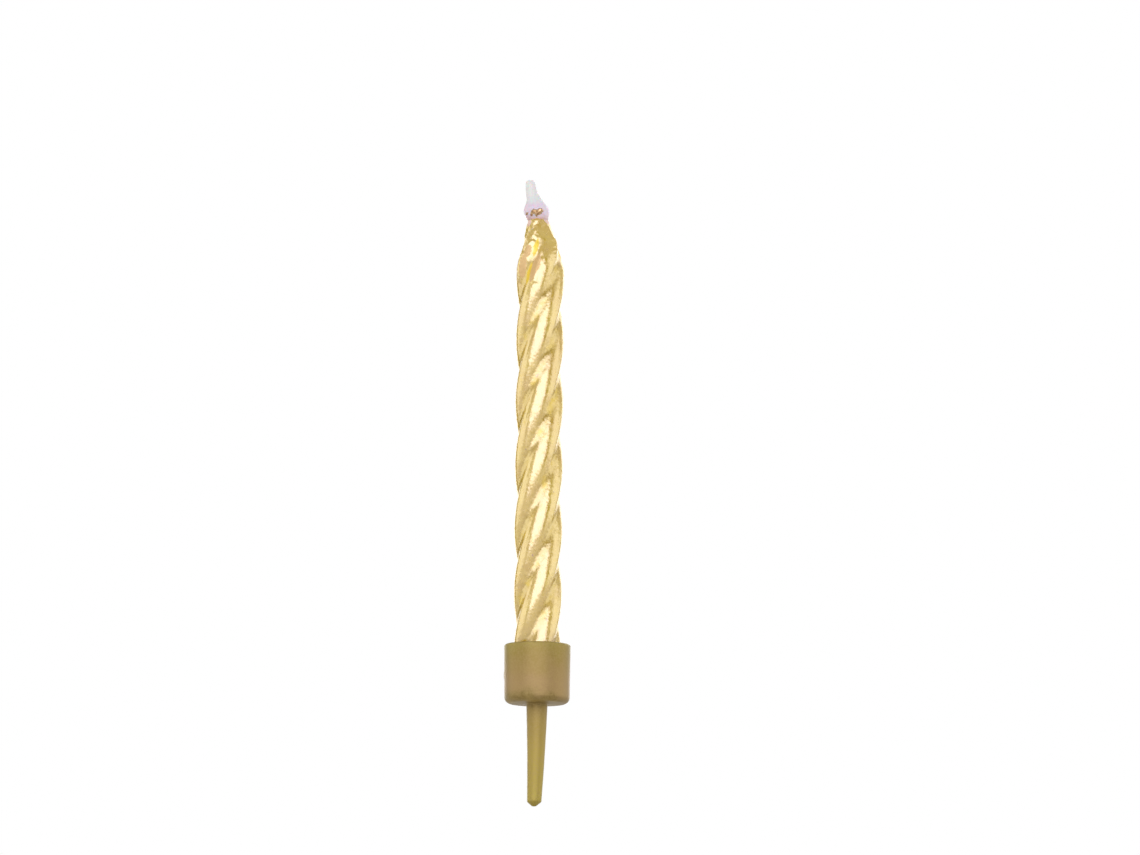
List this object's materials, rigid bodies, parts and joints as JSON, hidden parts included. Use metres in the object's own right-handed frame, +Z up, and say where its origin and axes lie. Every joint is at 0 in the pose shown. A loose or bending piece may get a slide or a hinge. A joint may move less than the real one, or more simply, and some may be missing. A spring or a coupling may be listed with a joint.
{
  "type": "spiral birthday candle",
  "caption": "Slim gold birthday candle with a spiral twist and a wax-dipped wick, standing in a plastic cup holder whose spike pushes into a cake.",
  "frame": {"origin": "on the candle's axis at the underside of the holder's cup, level with the top of the cake that it stands in", "axes": "+Z up along the candle towards the wick, -Y is the front that the picture shows, and the wick leans towards -X"},
  "size_m": [0.0084, 0.0084, 0.0794],
  "materials": {
    "holder_plastic": "satin",
    "candle_wax": "satin",
    "gold_foil": "gloss",
    "cotton_wick": "matte",
    "bead_wax": "satin"
  },
  "bodies": {
    "holder": {"holder": "holder_plastic"},
    "candle": {"wax_stick": "candle_wax", "gold_foil": "gold_foil", "wick": "cotton_wick", "wick_bead": "bead_wax"}
  },
  "joints": [
    {"name": "candle_lift", "type": "slide", "parent": "holder", "child": "candle", "axis": [0, 0, 1], "range_m": [0, 0.012]}
  ]
}
